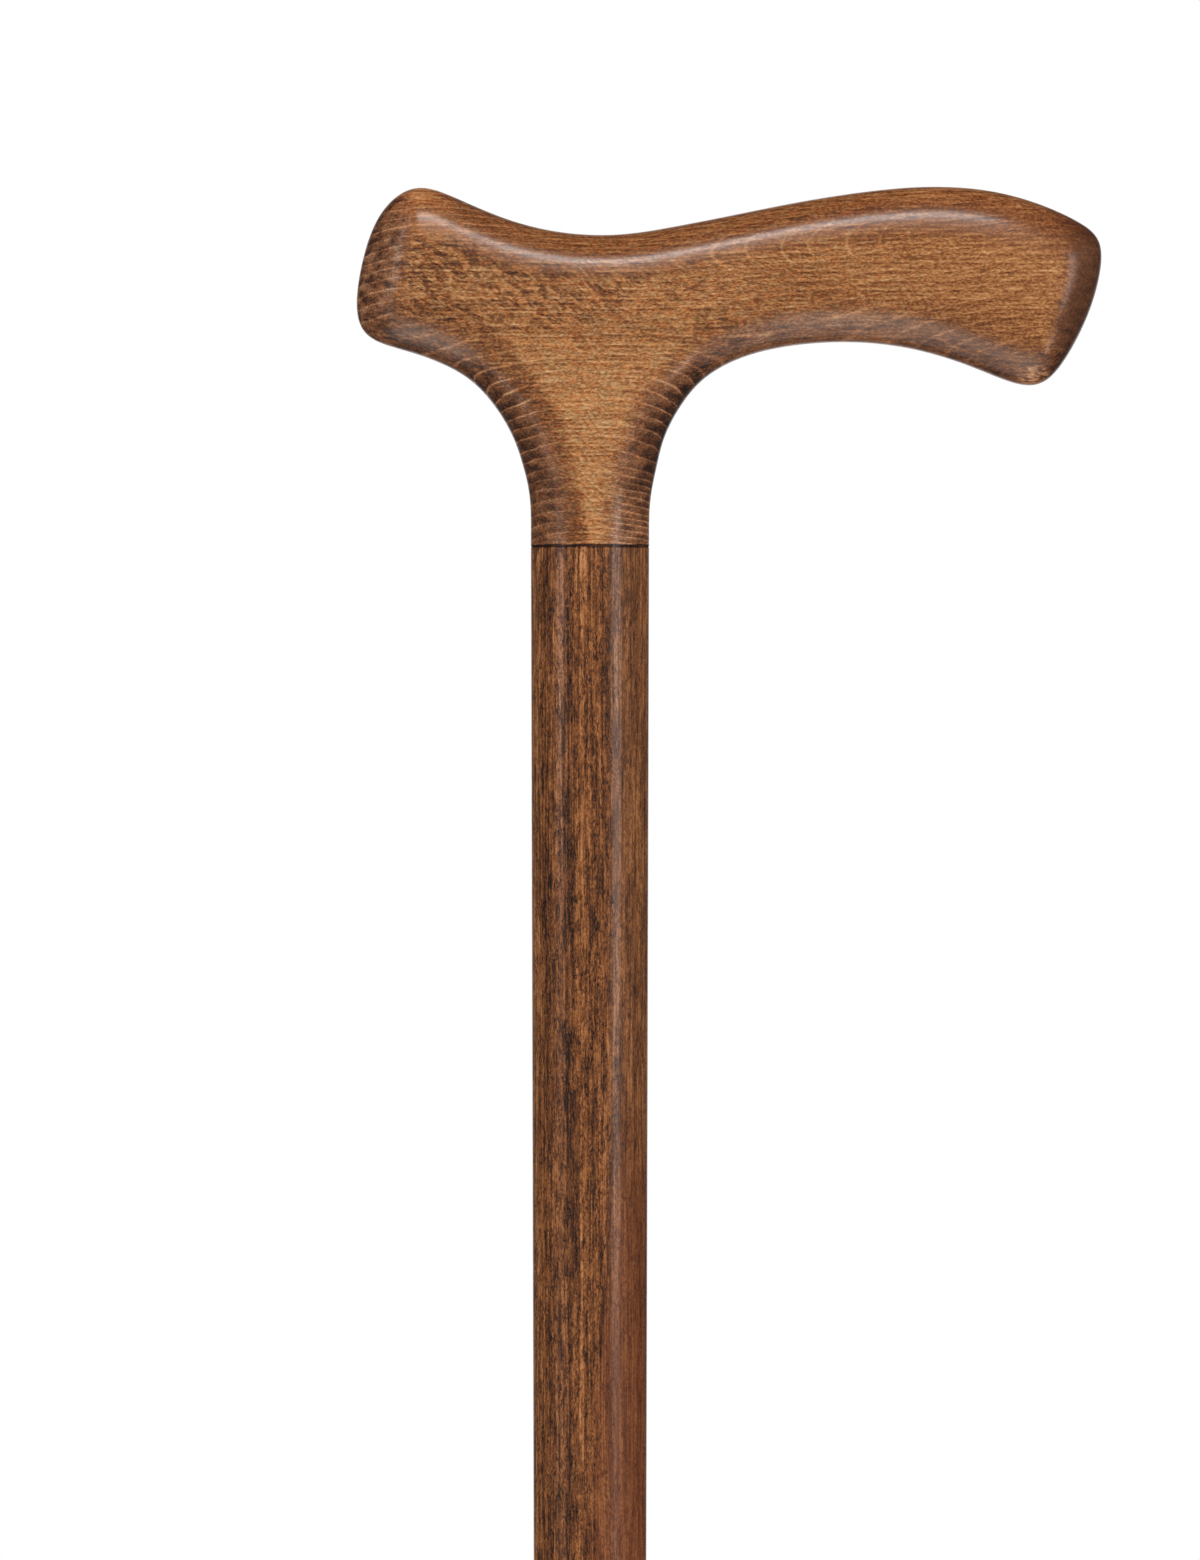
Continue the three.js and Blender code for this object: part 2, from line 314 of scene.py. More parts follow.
@dataclass(frozen=True)
class Value:
    """A number, place, colour or shader that varies over a surface. Arithmetic on it adds nodes.

    Attributes:
        sheet: The tree it belongs to.
        socket: The node output that gives it.
    """

    sheet: Sheet
    socket: bpy.types.NodeSocket

    def maths(self, operation: str, other: "Value | float" = 0.0) -> "Value":
        """Returns the output of a Math node on this value and other."""
        return self.sheet.add("Math", {0: self, 1: other}, operation=operation)

    def __add__(self, other: "Value | float") -> "Value":
        """Returns the sum."""
        return self.maths("ADD", other)

    def __sub__(self, other: "Value | float") -> "Value":
        """Returns the difference."""
        return self.maths("SUBTRACT", other)

    def __mul__(self, other: "Value | float") -> "Value":
        """Returns the product."""
        return self.maths("MULTIPLY", other)

    def __abs__(self) -> "Value":
        """Returns the value without its sign."""
        return self.maths("ABSOLUTE")

    def away(self, middle: float) -> "Value":
        """Returns how far the value is from middle."""
        return abs(self - middle)

    def band(self, low: float, high: float) -> "Value":
        """Returns 0 below low, 1 above high and a smooth step between. High may be under low."""
        inputs = {0: self, 1: min(low, high), 2: max(low, high), 3: float(high < low), 4: float(low < high)}
        return self.sheet.add("MapRange", inputs, interpolation_type="SMOOTHSTEP")

    def contour(self, width: float) -> "Value":
        """Returns thin winding lines, 1 where the value is 0.5 and 0 from width away from it."""
        return self.away(0.5).band(width, 0.0)

    def between(self, a: object, b: object, low: float = 0.0, high: float = 1.0) -> "Value":
        """Returns number a where this value is low, number b where it is high, and a mixture between."""
        return self.sheet.add("MapRange", {0: self, 1: low, 2: high, 3: a, 4: b})

    def blend(self, a: object, b: object) -> "Value":
        """Returns colour a where this value is 0, colour b where it is 1, and a mixture between."""
        return self.sheet.add("Mix", {0: self, 6: a, 7: b}, output=2, data_type="RGBA")

    def tinted(self, tint: object) -> "Value":
        """Returns this colour multiplied by another."""
        inputs = {0: 1.0, 6: self, 7: tint}
        return self.sheet.add("Mix", inputs, output=2, data_type="RGBA", blend_type="MULTIPLY")

    def ramp(self, colours: tuple[Colour, ...], places: tuple[float, ...]) -> "Value":
        """Returns the colour at this value on a ramp.

        Args:
            colours: The ramp's colours.
            places: Where each stands, from 0 to 1.

        Returns:
            The colour.
        """
        result = self.sheet.add("ValToRGB", {0: self})
        stops = result.socket.node.color_ramp.elements
        for _ in colours[2:]:
            stops.new(0.5)
        for stop, colour, position in zip(stops, colours, places):
            stop.position = position
            stop.color = (*colour, 1.0)
        return result

    def split(self) -> "tuple[Value, ...]":
        """Returns a place's X, Y and Z."""
        outputs = self.sheet.add("SeparateXYZ", {0: self}).socket.node.outputs
        return tuple(Value(self.sheet, socket) for socket in outputs)

    def noise(self, sizes: Triple, shift: Triple = NO_SHIFT, detail: float = 2.0, rough: float = 0.5,
              bend: float = 0.0, turn: float = 0.0, output: int = 0) -> "Value":
        """Returns a noise at this place.

        Args:
            sizes: How large its spots are along each axis.
            shift: What is added to the place at the end, to reach another part of the noise.
            detail: How many finer layers it has.
            rough: How strong they are.
            bend: How much it is distorted.
            turn: How far it is turned about Y, in degrees.
            output: 0 for a number and 1 for three of them.

        Returns:
            The noise, from 0 to 1.
        """
        place = self
        if turn:
            place = self.sheet.add("Mapping", {"Vector": self, "Rotation": (0, math.radians(turn), 0)})
        scale = tuple(1 / size for size in sizes)
        place = self.sheet.add("Mapping", {"Vector": place, "Scale": scale, "Location": shift})
        inputs = {"Vector": place, "Scale": 1.0, "Detail": detail, "Roughness": rough, "Distortion": bend}
        return self.sheet.add("TexNoise", inputs, output=output)

    def sway(self, sizes: Triple, reach: Triple) -> "Value":
        """Returns this place moved about smoothly.

        Args:
            sizes: How large the waves are along each axis.
            reach: How far they move it along each axis.

        Returns:
            The moved place.
        """
        waves = self.noise(sizes, detail=1.0, output=1)
        centred = self.sheet.add("VectorMath", {0: waves, 1: (0.5, 0.5, 0.5)}, operation="SUBTRACT")
        doubled = tuple(2 * part for part in reach)
        moved = self.sheet.add("VectorMath", {0: centred, 1: doubled}, operation="MULTIPLY")
        return self.sheet.add("VectorMath", {0: self, 1: moved}, operation="ADD")


def mixture(*parts: tuple[Value | float, float]) -> Value:
    """Adds up values, each times its weight.

    Args:
        parts: The values with their weights. The first is a Value, and a later 1.0 adds its weight as it is.

    Returns:
        The sum.
    """
    first, weight = parts[0]
    total = first * weight
    for value, weight in parts[1:]:
        total = first.sheet.add("Math", {0: value, 1: weight, 2: total}, operation="MULTIPLY_ADD")
    return total


@dataclass(frozen=True)
class Coat:
    """How a surface shines. Its finest texture shows as relief and breaks up the gloss.

    Attributes:
        strength: How strongly the relief shows.
        depth: How deep it is, in millimetres.
        rough: The roughness where the texture is 0, and where it is 1.
        metallic: 1 for metal.
    """

    strength: float
    depth: float
    rough: Point
    metallic: float = 0.0

    def over(self, colour: Value, texture: Value) -> Material:
        """Puts the coat over a colour.

        Args:
            colour: The colour.
            texture: The finest texture.

        Returns:
            The finished material.
        """
        sheet = colour.sheet
        relief = {"Strength": self.strength, "Distance": self.depth * MM, "Height": texture}
        return sheet.finish(sheet.add("BsdfPrincipled", {
            "Base Color": colour, "Metallic": self.metallic, "Roughness": texture.between(*self.rough),
            "IOR": SURFACE_IOR, "Normal": sheet.add("Bump", relief),
        }))


SATIN_LACQUER = Coat(strength=0.07, depth=0.02, rough=(0.28, 0.22))
MOULD_SKIN = Coat(strength=0.4, depth=0.08, rough=(0.62, 0.82))
ZINC_PLATE = Coat(strength=0.2, depth=0.03, rough=(0.28, 0.5), metallic=1.0)


# Finishes


class HandleGrain:
    """The patterns in the handle's wood, measured in millimetres from the joint's centre.

    Attributes:
        place: The place on the surface.
        grain: The same place, swayed as the fibres sway.
        x: How far the place is towards the long arm.
        y: How far it is behind the middle.
        z: How high it is over the joint.
        sideways: How much the surface faces either end, from 0 to 1.
        upwards: How much it faces up, from -1 to 1.
        fine: The finest texture, from 0 in the pores to 1.
        line: The thin light line at each ring's edge.
        phase: The place inside a ring, from 0 to 1.
        share: The share of the wood in the darker cut-across tones; on the undersides it is partly painted
            shade.
        under: The undersides' share in that: partly their stain, partly painted shade under the arms.
        marks: The flecks' strength.
        wide_ring: The distance between two growth rings in most of the handle.
        narrow_ring: The same in the foot's half towards the long arm.
        wide_row: The distance between two of the wider rows in which the fibres end.
    """

    wide_ring: float = 1.9
    narrow_ring: float = 1.2
    wide_row: float = 1.6

    def __init__(self, place: Value, normal: Value) -> None:
        """Draws what the tones have in common.

        Args:
            place: The place on the surface.
            normal: Where the surface faces.
        """
        self.place = place
        self.grain = place.sway((38, 20, 20), (0.0, 1.2, 1.6))
        self.x, self.y, self.z = place.split()
        facing = normal.split()
        self.sideways, self.upwards = abs(facing[0]), facing[2]
        self.fine = self.crackle()
        self.line, self.phase = self.rings()
        self.share, self.under = self.end_grain_and_under_shade()
        self.marks = self.flecks()

    def tone(self) -> Value:
        """Returns how light the wood is, from its deepest stain to its lightest."""
        return self.share.between(self.along(), self.across()) - self.rim()

    def crackle(self) -> Value:
        """Draws the finest texture: winding dark pores, thin rays in rows and a light grain.

        Returns:
            The texture, from 0 in the pores to 1.
        """
        grain = self.grain
        bed = grain.noise((0.8, 0.5, 0.42), rough=0.6, bend=0.7)
        depth = grain.noise((2.4, 1.0, 0.7), (6, 1, 6), detail=1)
        rays = grain.noise((5, 0.6, 0.3), (1, 6, 2)).band(0.35, 0.65)
        grit = grain.noise((0.62, 0.4, 0.27), detail=1, bend=0.4).band(0.33, 0.67)
        pores = bed.contour(0.07) * depth.band(0.25, 0.65)
        return mixture((pores, -0.4), (rays, 0.2), (grit, 0.62), (1.0, 0.27))

    def rings(self) -> tuple[Value, Value]:
        """Draws the growth rings as near-level layers.

        They lean down to the back, more so higher up, rise along the long arm and stand closer in the foot's
        half towards it.

        Returns:
            The thin light line at each ring's edge, and the place inside the ring from 0 to 1.
        """
        level = self.grain.split()[2]
        lean = level.between(0.12, 0.24, low=8.0, high=28.0)
        lean = self.x.band(-22, -32).between(lean, 0.14)
        rise = (self.x - 20.0).maths("MAXIMUM", 0.0)
        depth = self.y * abs(self.y)
        layer = mixture((level, 1.0), (lean * depth, 0.11), (rise, -0.17))
        in_foot = layer.maths("MINIMUM", 12.0) * self.x.band(-3, 3)
        uneven = self.grain.noise((50, 16, 7), (3, 7, 1))
        extra = 1 / self.narrow_ring - 1 / self.wide_ring
        phase = mixture((layer, 1 / self.wide_ring), (in_foot, extra), (uneven, 1.3)).maths("FRACT")
        line = phase.away(0.5).band(0.38, 0.48)
        broken = self.grain.noise((3, 2.2, 1.6), (9, 2, 4), detail=3).band(0.25, 0.5)
        return line * self.x.band(79, 73) * broken, phase

    def end_grain_and_under_shade(self) -> tuple[Value, Value]:
        """Finds the ends and neck's sides, cut across their rings, and the undersides, partly painted shade.

        Returns:
            Its share, from 0 to 1, and that of the undersides in it.
        """
        ragged = self.place.noise((1.8, 1.8, 0.6)) - 0.5
        ends = mixture((self.sideways, 1.0), (ragged, 0.5)).band(0.1, 0.6)
        # The undersides join the darker tones: partly their stain, partly painted shade under the arms.
        under = mixture((ragged, 0.5), (self.upwards, -1.0)).band(0.25, 0.7)
        return ends.maths("MAXIMUM", under * 0.85), under

    def flecks(self) -> Value:
        """Draws the dark slanted flecks that crowd the short arm's half of each face.

        Returns:
            The flecks' strength.
        """
        slanted = self.grain.noise((2.7, 1.3, 0.95), detail=4, rough=0.62, bend=0.7, turn=-28)
        patchy = self.grain.noise((12, 5, 4), (5, 5, 5), detail=1).band(0.2, 0.5)
        zone = self.z.band(31, 42) * self.upwards.band(0.6, 0.15) * self.z.band(54.5, 52.5)
        return zone * self.x.band(55, -8) * (patchy * slanted.band(0.43, 0.57))

    def along(self) -> Value:
        """Sets the tone of the wood cut along its fibres.

        Returns:
            The tone.
        """
        cloud = self.grain.noise((18, 8, 6), detail=3).band(0.3, 0.7)
        streak = self.grain.noise((14, 0.5, 0.5)).band(0.3, 0.7)
        mottle = self.grain.noise((2.6, 1.2, 0.9), (4, 4, 4), detail=3, bend=0.6).band(0.3, 0.7)
        facing = self.upwards
        streak_weight = mixture((facing.band(0.6, 0.9), 0.2), (1.0, 0.06))
        fine_weight = mixture((facing.band(0.1, 0.3), -0.12), (facing.band(0.5, 0.7), 0.14), (1.0, 0.41))
        dim_reach = self.x.away(52).band(28, 14)
        # The facing.band(0.3, 0.8) term lowers the tone on faces that look up: painted shade on the upper
        # side.
        return mixture(
            (self.fine * fine_weight, 1.0), (streak * streak_weight, 1.0), (self.rows(), 0.12),
            (mottle, 0.07), (cloud, 0.08), (facing.band(0.3, 0.8), -0.05),
            (self.phase.band(0.15, 0.95), -0.07), (self.line, 0.1), (self.marks, -0.23),
            (self.flames(), 0.13), (self.stained_neck(), -1.0), (self.z.band(42, 24), 0.05),
            (dim_reach, -0.06), (1.0, 0.265),
        )

    def rows(self) -> Value:
        """Draws the broken level rows in which the fibres end, wide ones and ones at half their distance.

        Returns:
            The rows, from -1 to 1.
        """
        wander = self.grain.noise((12, 6, 3), (2, 7, 7))
        turn = 2 * math.pi / self.wide_row
        wide = mixture((self.z, turn), (wander, 3.0)).maths("SINE")
        narrow = mixture((self.z, 2 * turn), (wander, 6.0)).maths("SINE")
        broken = self.grain.noise((2.6, 1, 1), (6, 3, 1)).band(0.35, 0.65)
        return mixture((wide, 0.4), (narrow, 0.8)) * broken

    def flames(self) -> Value:
        """Draws a few thin light arcs in the upper middle of each face.

        Returns:
            The arcs' strength.
        """
        height = mixture((self.z, 1.0), (self.x, -0.09), (1.0, -48.8))
        uneven = self.place.noise((9, 9, 9), (7, 3, 3))
        pace = mixture((self.x, 0.17), (height * height * -0.3, 0.17), (uneven, 0.9))
        line = pace.maths("FRACT").away(0.5).band(0.42, 0.48)
        return line * (self.x.band(12, 18) * self.x.band(75, 35) * abs(height).band(4.6, 2.4))

    def stained_neck(self) -> Value:
        """Finds the darker stain down the neck, beside a pale strip that narrows towards the joint.

        Returns:
            How much darker the wood is there.
        """
        ragged = self.grain.noise((1.6, 2, 0.9), (3, 3, 7), detail=4, rough=0.65)
        strip = self.x.away(1.4)
        flare = (self.z - 22.0).maths("MAXIMUM", 0.0)
        upper_side = self.x.band(1, 5) * self.z.band(10, 20)
        outside = mixture((strip, 1.0), (self.z, -0.22), (flare, -0.5), (ragged, 3.6), (upper_side, 1.2))
        beside = outside.band(2, 4.7) * self.z.band(44, 26)
        return beside * self.x.band(0, 3).between(0.24, 0.15)

    def across(self) -> Value:
        """Sets the tone of the wood cut across its rings.

        Returns:
            The tone.
        """
        x, z, sideways, under = self.x, self.z, self.sideways, self.under
        patch = self.grain.noise((5, 3, 1.6), (2, 3, 8), detail=3).band(0.34, 0.62)
        thread = self.grain.noise((9, 0.7, 0.5), (6, 6, 2)).band(0.4, 0.62)
        tip, short_end = x.band(76, 86), x.band(-28, -36)
        flare = z.band(36, 28) * z.band(18, 10).between(1.0, 0.0)
        outline = sideways.band(0.6, 0.97) * z.band(34, 26) * z.band(4, 14)
        dark = self.phase.band(0.95, 0.35) * sideways.band(0.2, 0.7)
        grip = x.away(42).band(20, 12)
        long_foot = z.band(12, 6) * x.band(2, 6)
        short_foot = z.band(24, 18) * x.band(0, -4)
        near_neck = abs(x).band(8, 13) * abs(x).band(30, 22)
        clear = mixture(
            (flare * x.band(4, 10), -0.12), (under, -0.14), (z.band(18, 12), -0.1), (short_end, -0.08),
            (long_foot, 0.1), (short_foot, -0.07), (near_neck, 0.17), (1.0, 0.3),
        )
        patch = patch * mixture((tip, -0.7), (short_end, 0.7), (1.0, 1.0))
        dark = dark * mixture((tip, -0.7), (short_end, -0.5), (1.0, 1.0))
        fine = self.fine * mixture((tip, -0.5), (1.0, 1.0))
        # The under terms darken the undersides: partly their stain, partly painted shade.
        return mixture(
            (fine, 0.35), (patch, 0.2), (self.line * clear, 1.0), (dark, -0.14),
            (sideways.band(0.4, 0.9), -0.02), (tip, 0.04), (flare, -0.02), (outline, -0.12), (under, -0.07),
            (short_end, -0.11), (under * thread, -0.17), (outline * x.band(2, 6), -0.12),
            (long_foot, 0.07), (under * grip, 0.09), (self.worn_corner(), 0.5), (1.0, 0.135),
        )

    def worn_corner(self) -> Value:
        """Finds the lowest corner of the long arm's end, where the stain is thin.

        Returns:
            How worn it is.
        """
        sideways, upwards = (self.x - 77.4) * (1 / 3.2), (self.z - 29.8) * (1 / 1.9)
        squares = sideways * sideways + upwards * upwards
        streaks = self.place.noise((2.4, 1.0, 0.5), (4, 1, 4), turn=-20).band(0.4, 0.6)
        return squares.band(1.2, 0.3) * streaks

    def rim(self) -> Value:
        """Finds the ragged dark stain at the foot's edge, and a painted highlight line just above it.

        Returns:
            How much darker the wood is there, below 0 along the painted highlight.
        """
        ragged = self.place.noise((4, 4, 1), (8, 2, 3), detail=3)
        height = mixture((self.z, 1.0), (ragged, -0.7))
        # The second term is a painted highlight along the foot's edge; the first is the dark stain at the
        # joint.
        return mixture((height.band(-0.05, -0.25), 0.55), (height.band(0.5, 0.1), -0.12))


@dataclass(frozen=True)
class HandleBeech:
    """Brown-stained beech with its fibres along X, under satin lacquer.

    The two faces show the wood cut along its fibres, with a crackle of fine dark pores. The ends, the neck's
    sides and the undersides cut across the growth rings, take more stain and show the rings as light lines;
    on the undersides the darker tone is partly painted shade.

    Attributes:
        joint_z: The height of the joint, where the pattern's origin is.
        tones: The wood's tones along its fibres, from the deepest stain to the lightest.
        cut_tones: The same across its rings.
        stops: Where both stand.
        upper_shade_tint: What the colour is multiplied by on the upper side's middle: painted shade on the
            faces that look up.
        end_upper_shade_tint: The same painted shade towards the long arm's end.
        short_upper_shade_tint: The same painted shade at the short arm's end.
        warm_cast: The same in its redder spots.
        cool_cast: The same between them.
        end_cast: The same at the long arm's end.
        fleck_cast: The same in the dark flecks.
    """

    joint_z: float
    tones: tuple[Colour, ...] = (
        (0.018, 0.007, 0.004), (0.075, 0.024, 0.008), (0.225, 0.078, 0.021), (0.43, 0.199, 0.07),
        (0.67, 0.4, 0.19),
    )
    cut_tones: tuple[Colour, ...] = (
        (0.018, 0.009, 0.006), (0.073, 0.028, 0.013), (0.205, 0.08, 0.032), (0.4, 0.19, 0.088),
        (0.62, 0.38, 0.2),
    )
    stops: tuple[float, ...] = (0.0, 0.22, 0.46, 0.7, 1.0)
    # Painted shade: these tints darken the faces that look up.
    upper_shade_tint: Colour = (0.6, 0.48, 0.39)
    end_upper_shade_tint: Colour = (0.72, 0.6, 0.52)
    short_upper_shade_tint: Colour = (0.98, 0.85, 0.76)
    warm_cast: Colour = (1.08, 0.94, 0.84)
    cool_cast: Colour = (0.94, 1.05, 1.17)
    end_cast: Colour = (1.0, 0.96, 0.95)
    fleck_cast: Colour = (0.93, 1.01, 1.2)

    def material(self) -> Material:
        """Mixes the material.

        Returns:
            The finished material.
        """
        sheet = Sheet(bpy.data.materials.new("handle_beech"))
        wood = HandleGrain(sheet.place(self.joint_z), sheet.add("TexCoord", output="Normal"))
        tone = wood.tone()
        colour = wood.share.blend(tone.ramp(self.tones, self.stops), tone.ramp(self.cut_tones, self.stops))
        hue = wood.grain.noise((1.5, 1, 0.7), (8, 8, 8)).band(0.3, 0.7)
        cast = wood.x.band(40, 75).blend(hue.blend(self.warm_cast, self.cool_cast), self.end_cast)
        colour = colour.tinted(cast)
        colour = wood.marks.blend(colour, colour.tinted(self.fleck_cast))
        # Painted shade on the faces that look up, strongest in the upper side's middle.
        tint = wood.x.away(5).band(15, 50).blend(self.upper_shade_tint, self.end_upper_shade_tint)
        tint = wood.x.band(-20, -32).blend(tint, self.short_upper_shade_tint)
        colour = wood.upwards.band(0.3, 0.72).blend(colour, colour.tinted(tint))
        return SATIN_LACQUER.over(colour, wood.fine)


@dataclass(frozen=True)
class ShaftBeech:
    """Brown-stained beech with its fibres along Z, under satin lacquer.

    Attributes:
        joint_z: The height of the joint, where the pattern's origin is.
        tones: The wood's tones, from pore to lightest streak.
        calm_tones: The tones of the calmer wood.
        stops: Where the tones stand.
        stripes: Where each stained stripe lies across the shaft, its half width and how much lighter it is.
        side_sheen_cast: What the colour is multiplied by on both sides, but not in the calmer wood: a painted
            sheen that greys them.
        calm_reach: The heights between which the long arm's side turns to calmer wood.
        lower_reach: The heights between which that wood spreads further across.
        calm_share: How far the wood turns calm there.
    """

    joint_z: float
    tones: tuple[Colour, ...] = (
        (0.013, 0.006, 0.004), (0.067, 0.0235, 0.0095), (0.182, 0.061, 0.0172), (0.345, 0.13, 0.0405),
        (0.51, 0.228, 0.088),
    )
    calm_tones: tuple[Colour, ...] = (
        (0.02, 0.007, 0.004), (0.088, 0.024, 0.009), (0.17, 0.05, 0.017), (0.27, 0.095, 0.033),
        (0.4, 0.16, 0.06),
    )
    stops: tuple[float, ...] = (0.0, 0.25, 0.52, 0.76, 1.0)
    stripes: tuple[Triple, ...] = (
        (-7.4, 1.3, -0.1), (-5.9, 0.9, 0.08), (-3.5, 1.3, -0.18), (-1.2, 0.8, 0.25),
    )
    # Painted sheen: greys the shaft's two sides.
    side_sheen_cast: Colour = (1.0, 1.09, 1.26)
    calm_reach: Point = (-85.0, -130.0)
    lower_reach: Point = (-85.0, -180.0)
    calm_share: float = 0.85

    def material(self) -> Material:
        """Mixes the material.

        Returns:
            The finished material.
        """
        sheet = Sheet(bpy.data.materials.new("shaft_beech"))
        place = sheet.place(self.joint_z)
        grain = place.sway((14, 14, 70), (0.5, 0.5, 0.0))
        x, _, z = grain.split()
        edge = grain.noise((1.2, 1.2, 12), (8, 1, 5), detail=3, rough=0.6)
        across = mixture((x, 1.0), (edge, 8.0), (z.band(*self.lower_reach), 5.0))
        calm = across.band(7, 11) * z.band(*self.calm_reach) * self.calm_share
        fine = self.fibres(grain)
        spots = grain.noise((1.1, 1.4, 4), (2, 8, 3), detail=4, rough=0.7, bend=0.8).band(0.58, 0.44)
        cloud = grain.noise((2.2, 2.2, 22), (2, 2, 2), detail=3, rough=0.6)
        # The shaft's two sides, where a painted sheen lightens and greys the wood.
        right, left = x.band(2.5, 6.5), x.band(-7.8, -9)
        marks = mixture((fine, 0.8), (spots, 0.2), (1.0, -0.56)) * mixture((right, -0.28), (1.0, 1.0))
        busy = mixture(
            (marks, 1.0), (self.stripe(grain), 1.0), (cloud.band(0.38, 0.62), 0.12), (right, 0.055),
            (left, 0.08), (self.rim(place), -0.25), (1.0, 0.312),
        )
        quiet = mixture((fine, 0.6), (cloud.band(0.3, 0.7), 0.14), (x.band(5.5, 9.5), -0.09), (1.0, 0.075))
        tone = calm.between(busy, quiet)
        colour = calm.blend(tone.ramp(self.tones, self.stops), tone.ramp(self.calm_tones, self.stops))
        # Painted sheen on both sides, outside the calmer wood.
        side = (right + left) * mixture((calm, -1.0), (1.0, 1.0))
        colour = side.blend(colour, colour.tinted(self.side_sheen_cast))
        return SATIN_LACQUER.over(colour, fine)

    def fibres(self, grain: Value) -> Value:
        """Draws the finest texture: long thin streaks, winding dark pores and a short grain.

        Args:
            grain: The place in the wood, in millimetres.

        Returns:
            The texture, from 0 in the pores to 1.
        """
        bed = grain.noise((0.65, 0.65, 3.2), detail=3, rough=0.6, bend=0.9)
        pores = bed.contour(0.065) * grain.noise((1.4, 1.4, 5), (6, 1, 6)).band(0.35, 0.55)
        grit = grain.noise((0.24, 0.24, 0.5), detail=1).band(0.38, 0.62)
        streaks = grain.noise((0.4, 0.5, 26)).band(0.4, 0.6)
        threads = grain.noise((0.3, 0.35, 9), (5, 5, 1)).band(0.4, 0.6)
        return mixture((pores, -0.5), (streaks, 0.26), (threads, 0.2), (grit, 0.27), (1.0, 0.38))

    def rim(self, place: Value) -> Value:
        """Finds the ragged dark stain round the shaft's top edge, under the glue line."""
        ragged = place.noise((5, 5, 1), (1, 2, 3), detail=3)
        return mixture((place.split()[2], 1.0), (ragged, 0.6)).band(0, 0.18)

    def stripe(self, grain: Value) -> Value:
        """Draws the stained stripes along the shaft.

        Args:
            grain: The place in the wood, in millimetres.

        Returns:
            How much lighter the wood is there.
        """
        x, _, z = grain.split()
        fading = grain.noise((3, 3, 40), (9, 9, 4), detail=1).band(0.2, 0.5)
        fading = fading * mixture((z.band(-86, -104), -0.55), (1.0, 1.0))
        ragged = grain.noise((1.2, 1.2, 9), (3, 5, 8))
        parts = []
        for middle, reach, lighter in self.stripes:
            edge = mixture((x.away(middle), 1.0), (ragged, 1.0), (1.0, -0.5))
            parts.append((edge.band(reach, 0.2 * reach), lighter))
        return mixture(*parts) * fading


@dataclass(frozen=True)
class MouldedRubber:
    """Matt black-brown rubber with fine mould grain, scuffed most near the sole."""

    colour: Colour = (0.022, 0.02, 0.019)
    scuff: Colour = (0.085, 0.08, 0.074)

    def material(self) -> Material:
        """Mixes the material.

        Returns:
            The finished material.
        """
        place = Sheet(bpy.data.materials.new("moulded_rubber")).place()
        low = place.split()[2].band(5, 0)
        worn = place.noise((6, 6, 6), detail=4).band(0.45, 0.7) * (low + 0.12)
        return MOULD_SKIN.over(worn.blend(self.colour, self.scuff), place.noise((0.35, 0.35, 0.35), detail=3))


@dataclass(frozen=True)
class PlatedSteel:
    """Dull zinc-plated steel with turning marks and duller clouds."""

    name: str
    colour: Colour = (0.6, 0.6, 0.57)
    dull: Colour = (0.42, 0.43, 0.42)

    def material(self) -> Material:
        """Mixes the material.

        Returns:
            The finished material.
        """
        place = Sheet(bpy.data.materials.new(self.name)).place()
        cloud = place.noise((3, 3, 3), detail=3).band(0.4, 0.7)
        return ZINC_PLATE.over(cloud.blend(self.colour, self.dull), place.noise((2.5, 2.5, 0.12), detail=3))


# Pieces


@dataclass(frozen=True)
class Station:
    """One cross-section of the grip, from its top edge to its bottom edge, in millimetres.

    Attributes:
        top: Where it meets the silhouette's top, as X from the shaft's axis and Z over the joint.
        bottom: Where it meets the underside.
        width: Its share of the grip's thickness.
    """

    top: Point
    bottom: Point
    width: float = 1.0

    @property
    def centre(self) -> Vector:
        """The section's middle."""
        return self.point(0.0)

    @property
    def height(self) -> float:
        """The section's depth from top to bottom."""
        return math.dist(self.top, self.bottom)

    @property
    def tilt(self) -> float:
        """How far the section leans from upright towards +X."""
        return math.atan2(self.top[0] - self.bottom[0], self.top[1] - self.bottom[1])

    def point(self, share: float, y: float = 0.0) -> Vector:
        """Finds a point of the section.

        Args:
            share: How far up it is, from -1 at the bottom edge to 1 at the top edge.
            y: How far it is to the side.

        Returns:
            The point.
        """
        low, high = (1 - share) / 2, (1 + share) / 2
        x, z = (bottom * low + top * high for bottom, top in zip(self.bottom, self.top))
        return Vector((x, y, z))


@dataclass(frozen=True)
class NeckStation:
    """One level cut through the neck, in millimetres.

    Attributes:
        z: Its height over the joint.
        left: Its limit on the short arm's side.
        right: Its limit on the long arm's side.
        front: Half of its thickness.
        rounding: How far in from its sides the cage's flat face ends.
        corner: How far in from its sides the cage's corners are.
        full_front: The front of a level that is as thick as the grip.
    """

    z: float
    left: float
    right: float
    front: float
    rounding: float
    corner: float
    full_front: float = 12.0

    def ring(self) -> list[Vector]:
        """Lays out the cage's eight points on the level's +Y half.

        Returns:
            The inner row and then the outer row, from left to right.
        """
        inner = self.front - self.rounding * self.front / self.full_front
        columns = (self.left + self.rounding, self.right - self.rounding)
        corners = (self.left + self.corner, self.right - self.corner)
        inner_row = [Vector((x, inner, self.z)) for x in (self.left, *columns, self.right)]
        outer_row = [Vector((x, self.front, self.z)) for x in (corners[0], *columns, corners[1])]
        outer_row[0].y = outer_row[3].y = self.front - self.corner
        return inner_row + outer_row


